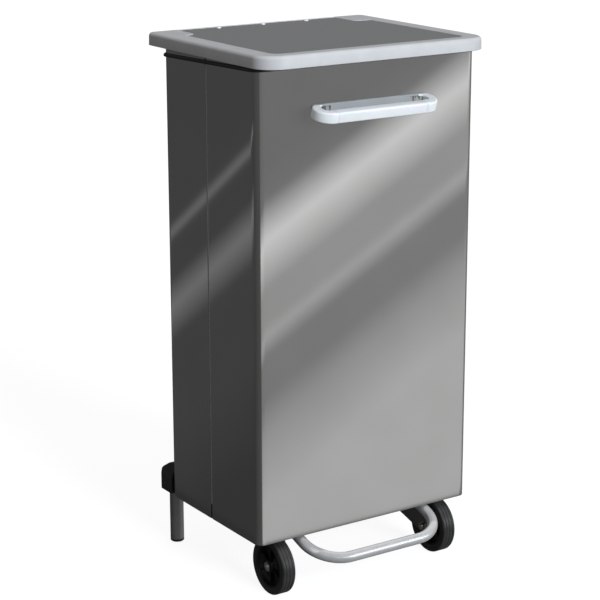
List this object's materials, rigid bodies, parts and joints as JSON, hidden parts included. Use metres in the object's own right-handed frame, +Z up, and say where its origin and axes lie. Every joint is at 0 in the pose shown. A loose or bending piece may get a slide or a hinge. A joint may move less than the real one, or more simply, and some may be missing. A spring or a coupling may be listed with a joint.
{
  "type": "pedal-operated waste bin",
  "caption": "Tall sheet-metal waste bin with a pedal-lifted hinged lid, front wheels, rear legs and a pull handle.",
  "frame": {"origin": "on the floor, under the middle of the whole object's box", "axes": "+Z up, the front with the pedal and the handle faces -Y, +X to the right for someone who faces the front"},
  "size_m": [0.45, 0.4104, 0.933],
  "materials": {
    "casing_sheet": "satin grey sheet with soft broad reflections",
    "joint_strip": "satin",
    "frame_steel": "satin, zinc plated",
    "dark_steel": "satin dark grey coating",
    "tube_steel": "fine satin bright tube",
    "fastener_zinc": "bright zinc",
    "lid_plastic": "fine satin light grey moulding",
    "panel_plastic": "fine grain mid grey sheet",
    "white_plastic": "glossy cool white moulding",
    "blue_grey_plastic": "satin blue grey moulding",
    "black_rubber": "matt",
    "black_plastic": "satin fine grain",
    "rim_plastic": "satin",
    "tyre_rubber": "matt grey black",
    "hub_plastic": "satin",
    "natural_nylon": "satin"
  },
  "bodies": {
    "casing": {"front_casing": "casing_sheet", "rear_casing": "casing_sheet", "seam_strips": "joint_strip", "rim_profile": "rim_plastic", "bag_strap": "black_rubber", "bottom_tray": "frame_steel", "tray_posts": "frame_steel", "base_frame": "frame_steel", "wall_rivets": "fastener_zinc", "wheel_brackets": "dark_steel", "bracket_bolts": "fastener_zinc", "axle_bolts": "fastener_zinc", "axle_nuts": "fastener_zinc", "axle_spacers": "fastener_zinc", "leg_frame": "tube_steel", "leg_brackets": "frame_steel", "bracket_screws": "fastener_zinc", "leg_caps": "black_rubber", "corner_bumpers": "black_plastic", "handle_base": "blue_grey_plastic", "handle_grip": "white_plastic", "handle_left_end": "white_plastic", "handle_right_end": "white_plastic", "handle_screws": "fastener_zinc", "hinge_base": "frame_steel", "hinge_pin": "fastener_zinc", "pivot_shaft": "fastener_zinc", "pivot_brackets": "frame_steel", "shaft_clips": "dark_steel", "rod_guides": "frame_steel", "guide_bushes": "natural_nylon"},
    "left_wheel": {"left_tyre": "tyre_rubber", "left_hub": "hub_plastic", "left_wheel_bush": "natural_nylon"},
    "right_wheel": {"right_tyre": "tyre_rubber", "right_hub": "hub_plastic", "right_wheel_bush": "natural_nylon"},
    "lid": {"hinge_leaf": "frame_steel", "hinge_rivets": "fastener_zinc", "lid_shell": "lid_plastic", "lid_panel": "panel_plastic", "lid_buffers": "black_rubber", "lid_lug": "frame_steel", "lug_screws": "fastener_zinc"},
    "pedal": {"pedal_bar": "tube_steel", "pivot_tube": "frame_steel", "pivot_bushes": "natural_nylon"},
    "rod": {"push_rod": "tube_steel", "rod_clevises": "frame_steel", "rod_pins": "fastener_zinc"}
  },
  "joints": [
    {"name": "lid_hinge", "type": "hinge", "parent": "casing", "child": "lid", "pos_m": [0, 0.16725, 0.921], "axis": [-1, 0, 0], "range_deg": [0, 70]},
    {"name": "pedal_pivot", "type": "hinge", "parent": "casing", "child": "pedal", "pos_m": [0, -0.01075, 0.1333], "axis": [1, 0, 0], "range_deg": [0, 15.85]},
    {"name": "rod_slide", "type": "slide", "parent": "casing", "child": "rod", "axis": [0, 0, 1], "range_m": [0, 0.04202]},
    {"name": "left_wheel_spin", "type": "hinge", "parent": "casing", "child": "left_wheel", "pos_m": [-0.1705, -0.10725, 0.05], "axis": [1, 0, 0], "continuous": true},
    {"name": "right_wheel_spin", "type": "hinge", "parent": "casing", "child": "right_wheel", "pos_m": [0.1705, -0.10725, 0.05], "axis": [1, 0, 0], "continuous": true}
  ],
  "couplings": [
    {"joint": "pedal_pivot", "follows": "lid_hinge", "ratio": 0.22639},
    {"joint": "rod_slide", "follows": "lid_hinge", "m_per_rad": 0.034388}
  ]
}
